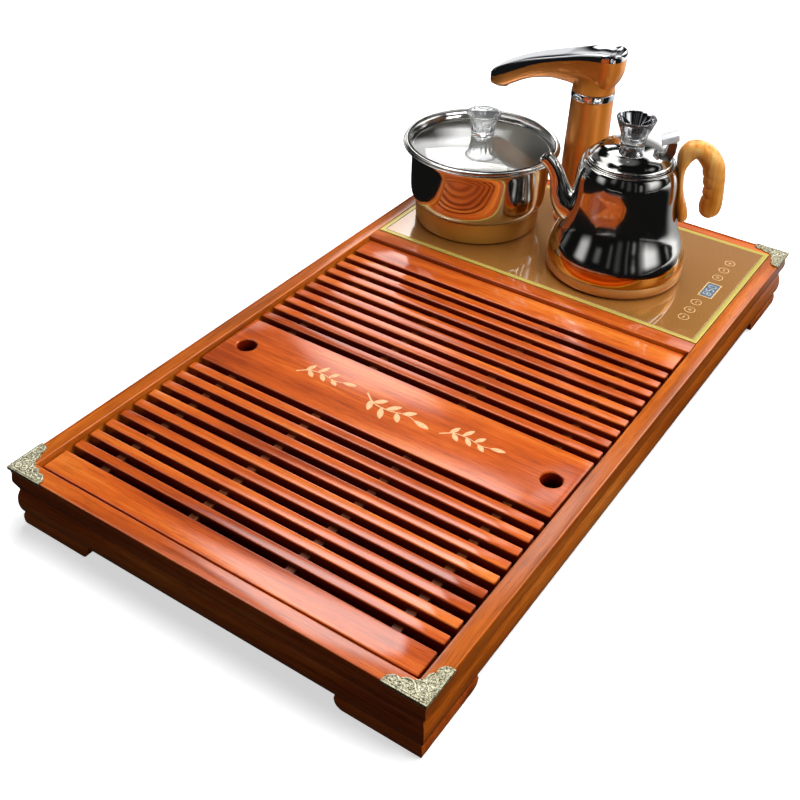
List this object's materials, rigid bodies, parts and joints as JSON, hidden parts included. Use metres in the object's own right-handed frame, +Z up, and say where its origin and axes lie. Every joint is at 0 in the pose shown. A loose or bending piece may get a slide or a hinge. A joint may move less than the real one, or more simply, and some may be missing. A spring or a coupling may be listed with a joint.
{
  "type": "gongfu tea tray",
  "caption": "Wooden gongfu tea tray with a lift-out slatted deck over a water pan, a built-in hob with a lidded pot and kettle, and a swivelling water tap.",
  "frame": {"origin": "middle of the tray's footprint, on the surface that it stands on", "axes": "+Z up, +Y along the tray from the slatted end to the hob, +X across the tray to the right of someone at the slatted end"},
  "size_m": [0.4058, 0.7288, 0.2649],
  "materials": {
    "red_wood": "gloss lacquer over red-brown wood",
    "dark_wood": "thin lacquer",
    "brass": "aged, stamped",
    "pan_plastic": "moulded",
    "gold_trim": "satin",
    "panel_glass": "tinted glass, back-printed in gold",
    "housing_plastic": "moulded",
    "coil_winding": "varnished winding",
    "tap_gold": "satin gold lacquer",
    "chrome": "polished",
    "base_gold": "satin gold lacquer",
    "polished_steel": "mirror polished stainless steel",
    "lid_glass": "clear",
    "clear_plastic": "clear",
    "bamboo_look": "wood-grain print"
  },
  "bodies": {
    "tray": {"rail_front": "red_wood", "rail_back": "red_wood", "rail_left": "red_wood", "rail_right": "red_wood", "crossbar": "red_wood", "bottom_board": "dark_wood", "foot_front_left": "red_wood", "corner_guard_front_left": "brass", "foot_front_right": "red_wood", "corner_guard_front_right": "brass", "foot_back_left": "red_wood", "corner_guard_back_left": "brass", "foot_back_right": "red_wood", "corner_guard_back_right": "brass", "water_pan": "pan_plastic", "hob_trim": "gold_trim", "hob_glass": "panel_glass", "hob_housing": "housing_plastic", "coil_pot": "coil_winding", "coil_kettle": "coil_winding", "tap_column": "tap_gold", "tap_ring": "chrome"},
    "tap_arm": {"tap_head": "tap_gold", "tap_cover": "chrome"},
    "deck": {"deck_plank_front": "red_wood", "deck_plank_centre": "red_wood", "deck_plank_back": "red_wood", "slat_01": "red_wood", "slat_02": "red_wood", "slat_03": "red_wood", "slat_04": "red_wood", "slat_05": "red_wood", "slat_06": "red_wood", "slat_07": "red_wood", "slat_08": "red_wood", "slat_09": "red_wood", "slat_10": "red_wood", "slat_11": "red_wood", "slat_12": "red_wood", "slat_13": "red_wood", "slat_14": "red_wood", "slat_15": "red_wood", "slat_16": "red_wood", "slat_17": "red_wood", "slat_18": "red_wood", "batten_1": "dark_wood", "batten_2": "dark_wood", "batten_3": "dark_wood", "batten_4": "dark_wood"},
    "pot": {"pot_base": "base_gold", "pot_body": "polished_steel"},
    "pot_lid": {"pot_lid_ring": "polished_steel", "pot_lid_glass": "lid_glass", "pot_lid_knob": "clear_plastic"},
    "kettle": {"kettle_base": "base_gold", "kettle_body": "polished_steel", "kettle_handle": "bamboo_look"},
    "kettle_lid_body": {"kettle_lid": "polished_steel", "kettle_lid_knob": "clear_plastic", "kettle_lid_catch": "clear_plastic"}
  },
  "joints": [
    {"name": "deck_lift", "type": "slide", "parent": "tray", "child": "deck", "axis": [0, 0, 1], "range_m": [0, 0.06]},
    {"name": "pot_lift", "type": "slide", "parent": "tray", "child": "pot", "axis": [0, 0, 1], "range_m": [0, 0.03]},
    {"name": "pot_lid_lift", "type": "slide", "parent": "pot", "child": "pot_lid", "axis": [0, 0, 1], "range_m": [0, 0.03]},
    {"name": "kettle_lift", "type": "slide", "parent": "tray", "child": "kettle", "axis": [0, 0, 1], "range_m": [0, 0.06]},
    {"name": "kettle_lid_lift", "type": "slide", "parent": "kettle", "child": "kettle_lid_body", "axis": [0, 0, 1], "range_m": [0, 0.05]},
    {"name": "tap_swivel", "type": "hinge", "parent": "tray", "child": "tap_arm", "pos_m": [-0.024, 0.2985, 0.2], "axis": [0, 0, -1], "range_deg": [-90, 90]}
  ]
}
